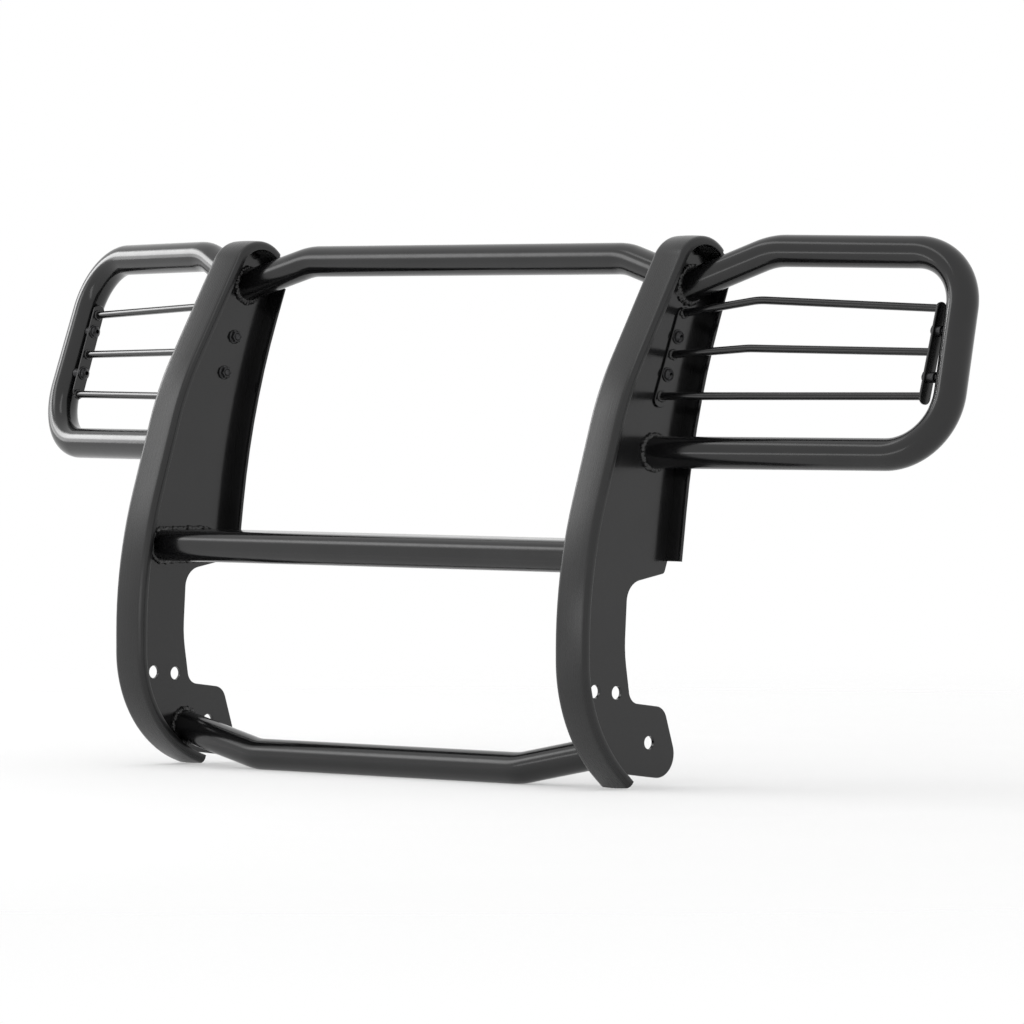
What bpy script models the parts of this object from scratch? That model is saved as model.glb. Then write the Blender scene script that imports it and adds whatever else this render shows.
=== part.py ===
"""Front grille guard for a pickup truck.

Two steel riser plates carry a rubber-covered T flange along their front
edge and a bare flange down their rear edge.  Three cross members join the
plates, and a tubular hoop with three round guard rods stands out on each
side in front of the lamps.

X is across the vehicle (right is +X), the front faces -Y, Z is up.
The origin is at the middle of the guard's footprint, at its lowest edge.
All sizes are metres.
"""
import math

import bmesh
import bpy
from mathutils import Matrix, Vector

GAP = 0.0003
SAG = 0.0004

# Shift that puts the origin at the middle of the footprint, at the lowest edge.
SHIFT_Y = 0.0020
SHIFT_Z = 0.00137

# Riser plates: centre planes at +-PLATE_X.
PLATE_X = 0.382
PLATE_T = 0.0048
FACE = PLATE_T / 2 + GAP

# Centre line of the flange strip in the plate's plane: (y, z, corner radius).
FLANGE_CORNERS = [
    (-0.0706, 0.0044, 0.0),
    (-0.1459, 0.0682, 0.179),
    (-0.1459, 0.2527, 0.554),
    (-0.0758, 0.4659, 0.368),
    (0.0306, 0.6428, 0.041),
    (0.1135, 0.6428, 0.041),
    (0.0356, 0.4403, 1.000),
    (0.0127, 0.2643, 0.0),
]
# The left strip's foot curls further under than the right one's.
LEFT_FOOT = [(-0.0442, 0.0049, 0.0), (-0.1459, 0.0404, 0.140)]
FLANGE_T = 0.0048
FRONT_FLANGE_W = 0.0434
REAR_FLANGE_W = 0.0490
# Length of the strip below the point on the crown where the rubber ends.
REAR_LENGTH = 0.336

# Rubber channel that snaps over the front flange.
COVER_W = 0.050
COVER_WEB = 0.003
COVER_LIP = 0.003
COVER_DEPTH = 0.011
COVER_ROUND = 0.004

# Rear edge of the plate below its flange, round the notch and the tab.
NOTCH_CORNERS = [
    (0.0074, 0.2500, 0.005),
    (-0.0546, 0.2392, 0.026),
    (-0.0596, 0.1595, 0.150),
    (-0.0500, 0.0992, 0.016),
    (0.0073, 0.0921, 0.019),
    (0.0358, 0.0039, 0.028),
]
PLATE_FOOT_Z = 0.0185

# Holes in each plate: (y, z, diameter).
MOUNT_HOLES = [(-0.1089, 0.1143, 0.016), (-0.0729, 0.1117, 0.016), (-0.0182, 0.0512, 0.016)]
SCREW_HOLES = [(0.0269, 0.5289, 0.009), (0.0094, 0.4844, 0.009)]

# Round tube of the hoops and of the upper and lower cross tubes.
TUBE_R = 0.01905
TUBE_WALL = 0.0021
TUBE_SIDES = 14

# Middle cross member, a flat-sided tube.
MIDDLE_Y = -0.0620
MIDDLE_Z = 0.2710
MIDDLE_DEPTH = 0.102
MIDDLE_HEIGHT = 0.0381
MIDDLE_ROUND = 0.015
MIDDLE_WALL = 0.003

# Lamp-guard hoops lie in one leaning, swept-back plane.
HOOP_Y = 0.029
HOOP_Z = 0.520
HOOP_LEAN = 0.32
HOOP_SWEEP = 0.2035
# Corners of the right hoop: (x, z, bend radius).
HOOP_CORNERS = [
    (0.382, 0.5885, 0.0),
    (0.488, 0.6302, 0.090),
    (0.749, 0.6264, 0.070),
    (0.769, 0.3930, 0.074),
    (0.382, 0.3930, 0.0),
]

ROD_R = 0.0047
# Guard rods: z at the inner strap, at the kink and at the outer strap.
ROD_LEVELS = {
    "upper": (0.5570, 0.5722, 0.5620),
    "middle": (0.5080, 0.5155, 0.5115),
    "lower": (0.4590, 0.4595, 0.4605),
}
# The left guard's rods sit a little lower than the right guard's.
LEFT_ROD_DROP = 0.0055
ROD_KINK_X = 0.482
ROD_BEND_R = 0.090

INNER_STRAP_W = 0.018
OUTER_STRAP_W = 0.018
STRAP_T = 0.003
STRAP_L = 0.124
INNER_STRAP_Z = 0.5040
INNER_STRAP_LEAN = 0.395
OUTER_STRAP_Z = 0.5100
OUTER_STRAP_X = 0.7292
OUTER_STRAP_RAKE = 0.030
OUTER_SCREW_Z = (0.5355, 0.4820)

SCREW_R = 0.004
HEAD_R = 0.0070
HEAD_H = 0.0044
WASHER_R = 0.0088
WASHER_T = 0.0016
NUT_AF = 0.013
NUT_H = 0.0060
BEAD_R = 0.0022
OUTER_SPACER_T = (0.0058, 0.0088)


def clear_scene():
    for obj in list(bpy.data.objects):
        bpy.data.objects.remove(obj, do_unlink=True)


def principled(name, colour, roughness, metallic):
    mat = bpy.data.materials.new(name)
    mat.use_nodes = True
    shader = mat.node_tree.nodes["Principled BSDF"]
    shader.inputs["Base Color"].default_value = (*colour, 1.0)
    shader.inputs["Roughness"].default_value = roughness
    shader.inputs["Metallic"].default_value = metallic
    mat.diffuse_color = (*colour, 1.0)
    return mat


FINISHES = {
    "powder": ((0.020, 0.020, 0.021), 0.28, 0.0),
    "rubber": ((0.028, 0.028, 0.029), 0.55, 0.0),
    "steel": ((0.045, 0.045, 0.047), 0.38, 0.6),
    "weld": ((0.024, 0.024, 0.025), 0.42, 0.0),
}


def finish(name, bm, look, smooth_angle=35.0):
    bmesh.ops.recalc_face_normals(bm, faces=bm.faces)
    if bm.calc_volume(signed=True) < 0:
        bmesh.ops.reverse_faces(bm, faces=bm.faces)
    mesh = bpy.data.meshes.new(name)
    bm.to_mesh(mesh)
    bm.free()
    if smooth_angle > 0:
        mesh.shade_smooth()
        mesh.set_sharp_from_angle(angle=math.radians(smooth_angle))
    obj = bpy.data.objects.new(name, mesh)
    bpy.context.scene.collection.objects.link(obj)
    colour, roughness, metallic = FINISHES[look]
    mesh.materials.append(principled(name + "_" + look, colour, roughness, metallic))
    return obj


def rounded(corners, step_degrees=10.0):
    """Polyline through the corners, each replaced by an arc of its radius.

    A corner is (a, b, radius) in a plane, or (x, y, z, radius) in space.
    An arc's chords stay within SAG of it.
    """
    points = [Vector(c[:-1]).to_3d() for c in corners]
    path = [points[0]]
    for i in range(1, len(points) - 1):
        before = (points[i - 1] - points[i]).normalized()
        after = (points[i + 1] - points[i]).normalized()
        turn = math.pi - before.angle(after)
        radius = corners[i][-1]
        reach = radius * math.tan(turn / 2)
        if reach < 1e-6:
            path.append(points[i])
            continue
        centre = points[i] + (before + after).normalized() * (radius / math.cos(turn / 2))
        start = points[i] + before * reach - centre
        end = points[i] + after * reach - centre
        step = min(math.radians(step_degrees), math.sqrt(8 * SAG / radius))
        steps = max(2, math.ceil(turn / step))
        for k in range(steps + 1):
            share = k / steps
            arm = start * math.sin((1 - share) * turn) + end * math.sin(share * turn)
            point = centre + arm / math.sin(turn)
            if (point - path[-1]).length > 1e-5:
                path.append(point)
    path.append(points[-1])
    return path


def tangents(path):
    out = []
    for i in range(len(path)):
        ahead = path[min(i + 1, len(path) - 1)] - path[i]
        behind = path[i] - path[max(i - 1, 0)]
        out.append((ahead.normalized() + behind.normalized()).normalized())
    return out


def trim(path, start, end):
    """Part of a path between two lengths measured along it."""
    out = []
    run = 0.0
    for a, b in zip(path, path[1:]):
        span = (b - a).length
        low = max(start, run)
        high = min(end, run + span)
        if high - low > 1e-7:
            if not out:
                out.append(a.lerp(b, (low - run) / span))
            out.append(a.lerp(b, (high - run) / span))
        run += span
    return out


def length(path):
    return sum((b - a).length for a, b in zip(path, path[1:]))


def offset(path, distance):
    """Planar path moved to its right-hand side."""
    out = []
    lines = tangents(path)
    for i, point in enumerate(path):
        first = (path[i] - path[i - 1]).normalized() if i else lines[i]
        side = Vector((lines[i].y, -lines[i].x, 0.0))
        out.append(point + side * (distance / max(0.5, first.dot(lines[i]))))
    return out


def sweep(name, outer, inner, frames, look, smooth_angle=35.0, faces_at=None):
    """Extrude a section, solid or hollow, through a list of frames.

    A frame is (origin, u axis, v axis).  faces_at gives the x planes on
    which the first and last sections are mitred.
    """
    bm = bmesh.new()
    layer_u = bm.verts.layers.float.new("u")
    layer_v = bm.verts.layers.float.new("v")
    loops = []
    for ring in [outer] + ([inner] if inner else []):
        verts = []
        for u, v in ring:
            vert = bm.verts.new((u, v, 0.0))
            vert[layer_u] = u
            vert[layer_v] = v
            verts.append(vert)
        loops.append([bm.edges.new((a, b)) for a, b in zip(verts, verts[1:] + verts[:1])])
    if inner:
        made = bmesh.ops.bridge_loops(bm, edges=loops[0] + loops[1])
        cap = made["faces"]
    else:
        made = bmesh.ops.contextual_create(bm, geom=loops[0])
        cap = made["faces"]

    def place(faces, frame):
        origin, axis_u, axis_v = frame
        for vert in {v for f in faces for v in f.verts}:
            vert.co = origin + axis_u * vert[layer_u] + axis_v * vert[layer_v]

    def mitre(faces, frame, plane):
        axis = frame[1].cross(frame[2]).normalized()
        for vert in {v for f in faces for v in f.verts}:
            vert.co += axis * ((plane - vert.co.x) / axis.x)

    place(cap, frames[0])
    if faces_at:
        mitre(cap, frames[0], faces_at[0])
    for i, frame in enumerate(frames[1:]):
        made = bmesh.ops.extrude_face_region(bm, geom=cap)
        if i:
            bmesh.ops.delete(bm, geom=cap, context="FACES_ONLY")
        cap = [g for g in made["geom"] if isinstance(g, bmesh.types.BMFace)]
        place(cap, frame)
    if faces_at:
        mitre(cap, frames[-1], faces_at[1])
    return finish(name, bm, look, smooth_angle)


def circle(radius, sides, turn=0.0):
    step = 2 * math.pi / sides
    return [(radius * math.cos(turn + i * step), radius * math.sin(turn + i * step)) for i in range(sides)]


def round_box(width, height, radius, steps=4):
    """Closed outline of a rectangle with round corners."""
    out = []
    for quarter in range(4):
        cu = (width / 2 - radius) * (1 if quarter in (0, 3) else -1)
        cv = (height / 2 - radius) * (1 if quarter in (0, 1) else -1)
        for k in range(steps + 1):
            angle = math.radians(90 * quarter + 90 * k / steps)
            out.append((cu + radius * math.cos(angle), cv + radius * math.sin(angle)))
    return out


def frames_along(path, up):
    """Section frames of a path whose u axis stays square to up."""
    out = []
    for point, line in zip(path, tangents(path)):
        axis_u = up.cross(line).normalized()
        out.append((point, axis_u, line.cross(axis_u).normalized()))
    return out


def mirrored(name, source):
    """Copy of a piece on the other side of the vehicle's centre plane."""
    bm = bmesh.new()
    bm.from_mesh(source.data)
    bmesh.ops.transform(bm, matrix=Matrix.Diagonal((-1, 1, 1, 1)), verts=bm.verts)
    look = source.data.materials[0].name.split(".")[0].rsplit("_", 1)[1]
    return finish(name, bm, look)


def both_sides(right):
    return mirrored(right.name.replace("right", "left"), right)


def moved_left(right):
    """The same piece built on the left side only."""
    left = both_sides(right)
    bpy.data.objects.remove(right, do_unlink=True)
    return left


def in_plate_plane(path, x):
    return [Vector((x, p.x, p.y)) for p in path]


def flange_line(foot):
    return rounded(foot + FLANGE_CORNERS[2:])


def above(path, height):
    """Part of an upward path that lies above a height."""
    for i, (a, b) in enumerate(zip(path, path[1:])):
        if a.y < height <= b.y:
            return [a.lerp(b, (height - a.y) / (b.y - a.y))] + path[i + 1:]
    return path


def build_plate(line):
    edge = above(offset(line, FLANGE_T / 2 + GAP), PLATE_FOOT_Z)
    rear = [(edge[-1].x, edge[-1].y, 0.0)] + NOTCH_CORNERS + [(edge[0].x, edge[0].y, 0.0)]
    outline = edge + rounded(rear, 14.0)[1:-1]
    holes = [hole(y, z, diameter) for y, z, diameter in MOUNT_HOLES + SCREW_HOLES]
    return cut_plate("riser_plate_right", [[(p.x, p.y) for p in outline]] + holes,
                     lambda z: PLATE_X, PLATE_T)


def hole(y, z, diameter):
    return [(y + u, z + v) for u, v in circle(diameter / 2, 20)]


def cut_plate(name, outlines, x_of, thickness):
    """Plate facing X, from its outline and the outlines of its holes."""
    bm = bmesh.new()
    edges = []
    for outline in outlines:
        verts = [bm.verts.new((x_of(z) - thickness / 2, y, z)) for y, z in outline]
        edges += [bm.edges.new((a, b)) for a, b in zip(verts, verts[1:] + verts[:1])]
    bmesh.ops.triangle_fill(bm, edges=edges, use_beauty=True)
    made = bmesh.ops.extrude_face_region(bm, geom=bm.faces[:])
    moved = [g for g in made["geom"] if isinstance(g, bmesh.types.BMVert)]
    bmesh.ops.translate(bm, vec=(thickness, 0, 0), verts=moved)
    return finish(name, bm, "powder", 30.0)


def drill(obj, holes):
    """Cut round holes that run along X; a hole is (x, y, z, diameter)."""
    bm = bmesh.new()
    for x, y, z, diameter in holes:
        place = Matrix.Translation((x, y, z)) @ Matrix.Rotation(math.pi / 2, 4, "Y")
        bmesh.ops.create_cone(bm, cap_ends=True, segments=20, radius1=diameter / 2,
                              radius2=diameter / 2, depth=0.020, matrix=place)
    mesh = bpy.data.meshes.new(obj.name + "_drill")
    bm.to_mesh(mesh)
    bm.free()
    cutter = bpy.data.objects.new(obj.name + "_drill", mesh)
    bpy.context.scene.collection.objects.link(cutter)
    cut = obj.modifiers.new("holes", "BOOLEAN")
    cut.operation = "DIFFERENCE"
    cut.object = cutter
    apply_modifiers(obj)
    bpy.data.objects.remove(cutter, do_unlink=True)


def apply_modifiers(obj):
    graph = bpy.context.evaluated_depsgraph_get()
    mesh = bpy.data.meshes.new_from_object(obj.evaluated_get(graph))
    obj.modifiers.clear()
    obj.data = mesh


def build_flanges(line):
    cover = length(line) - REAR_LENGTH
    front = trim(line, 0.0, cover - 0.0008)
    rear = trim(line, cover, length(line))
    front_box = [(a * FRONT_FLANGE_W / 2, b * FLANGE_T / 2) for a, b in ((1, 1), (-1, 1), (-1, -1), (1, -1))]
    rear_box = round_box(REAR_FLANGE_W, FLANGE_T, 0.0012, 2)
    pieces = [sweep("front_flange_right", front_box, None,
                    strip_frames(front, PLATE_X), "powder")]
    pieces.append(sweep("rear_flange_right", rear_box, None, strip_frames(rear, PLATE_X), "powder"))
    face = FLANGE_T / 2 + GAP + COVER_WEB
    back = face - COVER_DEPTH
    half = COVER_W / 2
    section = []
    for k in range(4):
        angle = math.radians(30 * k)
        section.append((half - COVER_ROUND + COVER_ROUND * math.cos(angle),
                        face - COVER_ROUND + COVER_ROUND * math.sin(angle)))
    section += [(-u, v) for u, v in reversed(section)]
    section += [(-half, back), (-half + COVER_LIP, back), (-half + COVER_LIP, face - COVER_WEB),
                (half - COVER_LIP, face - COVER_WEB), (half - COVER_LIP, back), (half, back)]
    pieces.append(sweep("rubber_strip_right", section, None, strip_frames(front, PLATE_X), "rubber"))
    return pieces


def strip_frames(path, x):
    """Frames with u across the vehicle and v pointing away from the plate."""
    out = []
    points = in_plate_plane(path, x)
    for i, (point, line) in enumerate(zip(points, tangents(points))):
        first = (points[i] - points[i - 1]).normalized() if i else line
        stretch = 1.0 / max(0.5, first.dot(line))
        away = Vector((0, -line.z, line.y)) * stretch
        out.append((point, Vector((1, 0, 0)), away))
    return out


def hoop_y(x, z):
    return HOOP_Y + HOOP_LEAN * (z - HOOP_Z) + HOOP_SWEEP * (x - PLATE_X)


def tube(name, path, up, faces_at):
    return sweep(name, circle(TUBE_R, TUBE_SIDES), circle(TUBE_R - TUBE_WALL, TUBE_SIDES),
                 frames_along(path, up), "powder", 35.0, faces_at)


def build_hoop():
    corners = [(x, hoop_y(x, z), z, r) for x, z, r in HOOP_CORNERS]
    path = rounded(corners, 15.0)
    flat = Vector((-HOOP_SWEEP, 1.0, -HOOP_LEAN)).normalized()
    hoop = tube("lamp_guard_hoop_right", path, flat, (PLATE_X + FACE, PLATE_X + FACE))
    return hoop, corners


UPPER_TUBE = [(-PLATE_X, 0.0500, 0.5920, 0.0), (-0.273, 0.0604, 0.6223, 0.100),
              (0.273, 0.0604, 0.6223, 0.100), (PLATE_X, 0.0500, 0.5920, 0.0)]
LOWER_TUBE = [(-PLATE_X, -0.0575, 0.0470, 0.0), (-0.228, -0.0747, 0.0172, 0.100),
              (0.228, -0.0747, 0.0172, 0.100), (PLATE_X, -0.0575, 0.0470, 0.0)]


def build_cross_members():
    faces_at = (-PLATE_X + FACE, PLATE_X - FACE)
    up = Vector((0, 0, 1))
    for name, corners in (("upper_cross_tube", UPPER_TUBE), ("lower_cross_tube", LOWER_TUBE)):
        tube(name, rounded(corners, 7.0), up, faces_at)
    outer = round_box(MIDDLE_DEPTH, MIDDLE_HEIGHT, MIDDLE_ROUND)
    inner = round_box(MIDDLE_DEPTH - 2 * MIDDLE_WALL, MIDDLE_HEIGHT - 2 * MIDDLE_WALL,
                      MIDDLE_ROUND - MIDDLE_WALL)
    ends = [Vector((x, MIDDLE_Y, MIDDLE_Z)) for x in faces_at]
    frames = [(end, Vector((0, 1, 0)), Vector((0, 0, 1))) for end in ends]
    sweep("middle_cross_member", outer, inner, frames, "powder", 35.0)


def bead(name, path):
    """Weld bead: a closed ring of round section lying along a closed path."""
    bm = bmesh.new()
    count = len(path)
    rings = []
    for i, point in enumerate(path):
        line = (path[(i + 1) % count] - path[i - 1]).normalized()
        out = line.cross(Vector((1, 0, 0))).normalized()
        axis = out.cross(line).normalized()
        place = Matrix.Translation(point) @ Matrix((out, axis, line)).transposed().to_4x4()
        ring = bmesh.ops.create_circle(bm, cap_ends=False, segments=5, radius=BEAD_R, matrix=place)
        rings.append(list({e for v in ring["verts"] for e in v.link_edges}))
    for i in range(count):
        bmesh.ops.bridge_loops(bm, edges=rings[i] + rings[(i + 1) % count])
    return finish(name, bm, "weld", 60.0)


def tube_bead(name, start, toward, plane, side):
    """Bead round a tube that leaves the plate face at start."""
    axis = (toward - start).normalized()
    across = axis.cross(Vector((0, 0, 1))).normalized()
    above = across.cross(axis).normalized()
    reach = TUBE_R + BEAD_R + GAP
    target = plane + side * (BEAD_R + GAP)
    path = []
    for i in range(18):
        angle = 2 * math.pi * i / 18
        point = start + (across * math.cos(angle) + above * math.sin(angle)) * reach
        path.append(point + axis * ((target - point.x) / axis.x))
    return bead(name, path)


def build_beads(hoop_corners):
    inside = PLATE_X - FACE
    outside = PLATE_X + FACE
    for level, corners in (("upper", UPPER_TUBE), ("lower", LOWER_TUBE)):
        right = tube_bead(level + "_cross_weld_right", Vector(corners[3][:3]),
                          Vector(corners[2][:3]), inside, -1)
        both_sides(right)
    outline = round_box(MIDDLE_DEPTH + 2 * (BEAD_R + GAP), MIDDLE_HEIGHT + 2 * (BEAD_R + GAP),
                        MIDDLE_ROUND + BEAD_R + GAP, 4)
    path = [Vector((inside - BEAD_R - GAP, MIDDLE_Y + u, MIDDLE_Z + v)) for u, v in outline]
    both_sides(bead("middle_cross_weld_right", path))
    points = [Vector(c[:3]) for c in hoop_corners]
    both_sides(tube_bead("upper_hoop_weld_right", points[0], points[1], outside, 1))
    both_sides(tube_bead("lower_hoop_weld_right", points[4], points[3], outside, 1))


INNER_STRAP_X = PLATE_X + FACE + STRAP_T / 2


def inner_strap_y(z):
    return SCREW_HOLES[0][0] + INNER_STRAP_LEAN * (z - SCREW_HOLES[0][1])


def outer_strap_y(z):
    return hoop_y(OUTER_STRAP_X, z)


def outer_strap_x(z):
    return OUTER_STRAP_X - OUTER_STRAP_RAKE * (z - OUTER_STRAP_Z)


def strap(name, width, x_of, y_of, middle_z, holes):
    """Flat bar with round ends, leaning with the hoop."""
    lean = math.atan(y_of(1.0) - y_of(0.0))
    outline = []
    for u, v in round_box(width, STRAP_L, width / 2 - 0.0004, 5):
        outline.append((y_of(middle_z) + u * math.cos(lean) + v * math.sin(lean),
                        middle_z - u * math.sin(lean) + v * math.cos(lean)))
    return cut_plate(name, [outline] + [hole(y, z, d) for y, z, d in holes], x_of, STRAP_T)


def build_rods(drop):
    rods = []
    for level, heights in ROD_LEVELS.items():
        inner_z, kink_z, outer_z = [z - drop for z in heights]
        x0 = INNER_STRAP_X + STRAP_T / 2 + GAP
        x1 = outer_strap_x(outer_z) - STRAP_T / 2 - 2.5 * GAP
        start = (x0, inner_strap_y(inner_z), inner_z, 0.0)
        kink = (ROD_KINK_X, hoop_y(ROD_KINK_X, kink_z), kink_z, ROD_BEND_R)
        end = (x1, outer_strap_y(outer_z), outer_z, 0.0)
        path = rounded([start, kink, end], 8.0)
        rods.append(sweep("guard_rod_" + level + "_right", circle(ROD_R, 10), None,
                          frames_along(path, Vector((0, 0, 1))), "powder", 40.0, (x0, x1)))
    return rods


def lathe(name, profile, x, y, z, facing, look, steps=14):
    """Turned piece on an X axis; profile is a closed (radius, x) outline."""
    bm = bmesh.new()
    verts = [bm.verts.new((a, r, 0.0)) for r, a in profile]
    edges = [bm.edges.new((a, b)) for a, b in zip(verts, verts[1:])]
    if profile[0][0] > 1e-6:
        edges.append(bm.edges.new((verts[-1], verts[0])))
    bmesh.ops.spin(bm, geom=verts + edges, cent=(0, 0, 0), axis=(1, 0, 0),
                   angle=2 * math.pi, steps=steps, use_merge=True)
    bmesh.ops.remove_doubles(bm, verts=bm.verts, dist=1e-6)
    turn = Matrix.Identity(4) if facing > 0 else Matrix.Rotation(math.pi, 4, "Z")
    bmesh.ops.transform(bm, matrix=Matrix.Translation((x, y, z)) @ turn, verts=bm.verts)
    return finish(name, bm, look, 30.0)


def screw_profile(shank, flange=0.0):
    """Button head with a round socket, and its shank towards -x.

    A flange is that thick, as wide as a washer, and under the head.
    """
    rim = [(WASHER_R, 0.0), (WASHER_R, flange)] if flange else [(HEAD_R, 0.0)]
    dome = [(HEAD_R, 0.0010), (HEAD_R * 0.86, 0.0031), (HEAD_R * 0.52, HEAD_H)]
    top = ([(HEAD_R, 0.0)] if flange else []) + dome + [(0.0027, HEAD_H), (0.0, 0.0014)]
    return [(0.0, -shank), (SCREW_R, -shank), (SCREW_R, 0.0)] + rim + [(r, x + flange) for r, x in top]


def ring_profile(inner, outer, thick):
    return [(inner, 0.0), (outer, 0.0), (outer, thick), (inner, thick)]


def nut(name, x, y, z, facing):
    """Hexagon nut on a round flange, bored for the screw."""
    bm = bmesh.new()
    turn = Matrix.Rotation(math.pi / 2 * facing, 4, "Y")
    corner = NUT_AF / 2 / math.cos(math.pi / 6)
    bmesh.ops.create_cone(bm, cap_ends=True, segments=6, radius1=corner, radius2=corner,
                          depth=NUT_H - 0.0012, matrix=Matrix.Translation((0, 0, NUT_H / 2 + 0.0006)))
    bmesh.ops.transform(bm, matrix=Matrix.Translation((x, y, z)) @ turn, verts=bm.verts)
    body = finish(name, bm, "steel", 30.0)
    parts = []
    for radius1, radius2, low, high in ((0.0088, 0.0070, 0.0, 0.0022), (0.0043, 0.0043, -0.002, 0.012)):
        tool = bmesh.new()
        bmesh.ops.create_cone(tool, cap_ends=True, segments=18, radius1=radius1, radius2=radius2,
                              depth=high - low, matrix=Matrix.Translation((0, 0, (low + high) / 2)))
        bmesh.ops.transform(tool, matrix=Matrix.Translation((x, y, z)) @ turn, verts=tool.verts)
        mesh = bpy.data.meshes.new(name + "_tool")
        tool.to_mesh(mesh)
        tool.free()
        parts.append(bpy.data.objects.new(name + "_tool", mesh))
        bpy.context.scene.collection.objects.link(parts[-1])
    for operation, part in zip(("UNION", "DIFFERENCE"), parts):
        step = body.modifiers.new(operation.lower(), "BOOLEAN")
        step.operation = operation
        step.object = part
    apply_modifiers(body)
    for part in parts:
        bpy.data.objects.remove(part, do_unlink=True)
    return body


def build_fasteners():
    heads = {"upper": SCREW_HOLES[0], "lower": SCREW_HOLES[1]}
    for level, (y, z, _) in heads.items():
        washer_x = INNER_STRAP_X + STRAP_T / 2 + GAP
        both_sides(lathe("inner_washer_" + level + "_right",
                         ring_profile(SCREW_R + 0.0004, WASHER_R, WASHER_T), washer_x, y, z, 1, "steel"))
        head_x = washer_x + WASHER_T + GAP
        shank = head_x - (PLATE_X - FACE) + NUT_H + 0.0010
        both_sides(lathe("inner_screw_" + level + "_right", screw_profile(shank), head_x, y, z, 1, "steel"))
        both_sides(nut("flange_nut_" + level + "_right", PLATE_X - FACE, y, z, -1))
    for level, z, spacer_t in zip(("upper", "lower"), OUTER_SCREW_Z, OUTER_SPACER_T):
        y = outer_strap_y(z)
        head_x = outer_strap_x(z) - STRAP_T / 2 - 2 * GAP
        both_sides(lathe("outer_screw_" + level + "_right", screw_profile(0.0236, WASHER_T),
                         head_x, y, z, -1, "steel"))
        both_sides(lathe("outer_spacer_" + level + "_right",
                         ring_profile(SCREW_R + 0.0004, 0.0065, spacer_t),
                         outer_strap_x(z) + STRAP_T / 2 + 2 * GAP, y, z, 1, "steel"))


def main():
    clear_scene()
    left_line = flange_line(LEFT_FOOT)
    for piece in [build_plate(left_line)] + build_flanges(left_line) + build_rods(LEFT_ROD_DROP):
        moved_left(piece)
    right_line = flange_line(FLANGE_CORNERS[:2])
    build_plate(right_line)
    build_flanges(right_line)
    build_rods(0.0)
    hoop, corners = build_hoop()
    holes = [(outer_strap_x(z) + 0.015, outer_strap_y(z), z, 0.0095) for z in OUTER_SCREW_Z]
    drill(hoop, holes)
    both_sides(hoop)
    build_cross_members()
    build_beads(corners)
    both_sides(strap("inner_strap_right", INNER_STRAP_W, lambda z: INNER_STRAP_X, inner_strap_y,
                     INNER_STRAP_Z, SCREW_HOLES))
    both_sides(strap("outer_strap_right", OUTER_STRAP_W, outer_strap_x, outer_strap_y,
                     OUTER_STRAP_Z, [(outer_strap_y(z), z, 0.009) for z in OUTER_SCREW_Z]))
    build_fasteners()
    for obj in bpy.context.scene.objects:
        obj.data.transform(Matrix.Translation((0, SHIFT_Y, SHIFT_Z)))


main()
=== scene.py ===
import math

import bmesh
import bpy
from mathutils import Matrix, Vector, noise


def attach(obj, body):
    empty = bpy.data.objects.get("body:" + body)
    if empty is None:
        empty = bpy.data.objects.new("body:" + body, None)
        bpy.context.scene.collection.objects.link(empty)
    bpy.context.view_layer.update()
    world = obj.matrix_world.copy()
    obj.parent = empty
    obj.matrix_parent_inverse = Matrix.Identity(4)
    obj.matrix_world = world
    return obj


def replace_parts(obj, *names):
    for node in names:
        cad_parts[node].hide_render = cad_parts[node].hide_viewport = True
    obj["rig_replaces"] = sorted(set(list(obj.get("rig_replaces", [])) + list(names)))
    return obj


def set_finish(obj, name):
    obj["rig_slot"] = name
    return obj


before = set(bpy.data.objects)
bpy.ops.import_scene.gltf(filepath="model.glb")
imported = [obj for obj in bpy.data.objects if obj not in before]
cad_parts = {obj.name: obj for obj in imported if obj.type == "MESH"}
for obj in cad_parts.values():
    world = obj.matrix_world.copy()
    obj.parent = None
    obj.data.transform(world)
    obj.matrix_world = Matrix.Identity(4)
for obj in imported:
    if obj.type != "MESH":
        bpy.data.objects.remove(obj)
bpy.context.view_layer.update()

guardShift = Vector((0.0, 0.0020, 0.00137))  # from the drawing's datum to the middle of the footprint
plateX = 0.382
plateT = 0.0048


# coats, rubber and metal
def startMaterial(name):
    mat = bpy.data.materials.new(name)
    mat.use_nodes = True
    tree = mat.node_tree
    shader = tree.nodes["Principled BSDF"]
    coords = tree.nodes.new("ShaderNodeTexCoord")
    return mat, tree, shader, coords.outputs["Object"]


def addNoise(tree, vector, scale, detail=3.0, rough=0.5, stretch=None):
    if stretch:
        mapping = tree.nodes.new("ShaderNodeMapping")
        mapping.inputs["Scale"].default_value = stretch
        tree.links.new(vector, mapping.inputs["Vector"])
        vector = mapping.outputs["Vector"]
    tex = tree.nodes.new("ShaderNodeTexNoise")
    tex.inputs["Scale"].default_value = scale
    tex.inputs["Detail"].default_value = detail
    tex.inputs["Roughness"].default_value = rough
    tree.links.new(vector, tex.inputs["Vector"])
    return tex.outputs["Fac"]


def addRamp(tree, fac, stops):
    ramp = tree.nodes.new("ShaderNodeValToRGB")
    while len(ramp.color_ramp.elements) < len(stops):
        ramp.color_ramp.elements.new(0.5)
    for element, (place, colour) in zip(ramp.color_ramp.elements, stops):
        element.position = place
        element.color = (*colour, 1.0)
    tree.links.new(fac, ramp.inputs["Fac"])
    return ramp.outputs["Color"]


def addRange(tree, fac, low, high, fromLow=0.3, fromHigh=0.7):
    node = tree.nodes.new("ShaderNodeMapRange")
    node.inputs["From Min"].default_value = fromLow
    node.inputs["From Max"].default_value = fromHigh
    node.inputs["To Min"].default_value = low
    node.inputs["To Max"].default_value = high
    tree.links.new(fac, node.inputs["Value"])
    return node.outputs["Result"]


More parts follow.
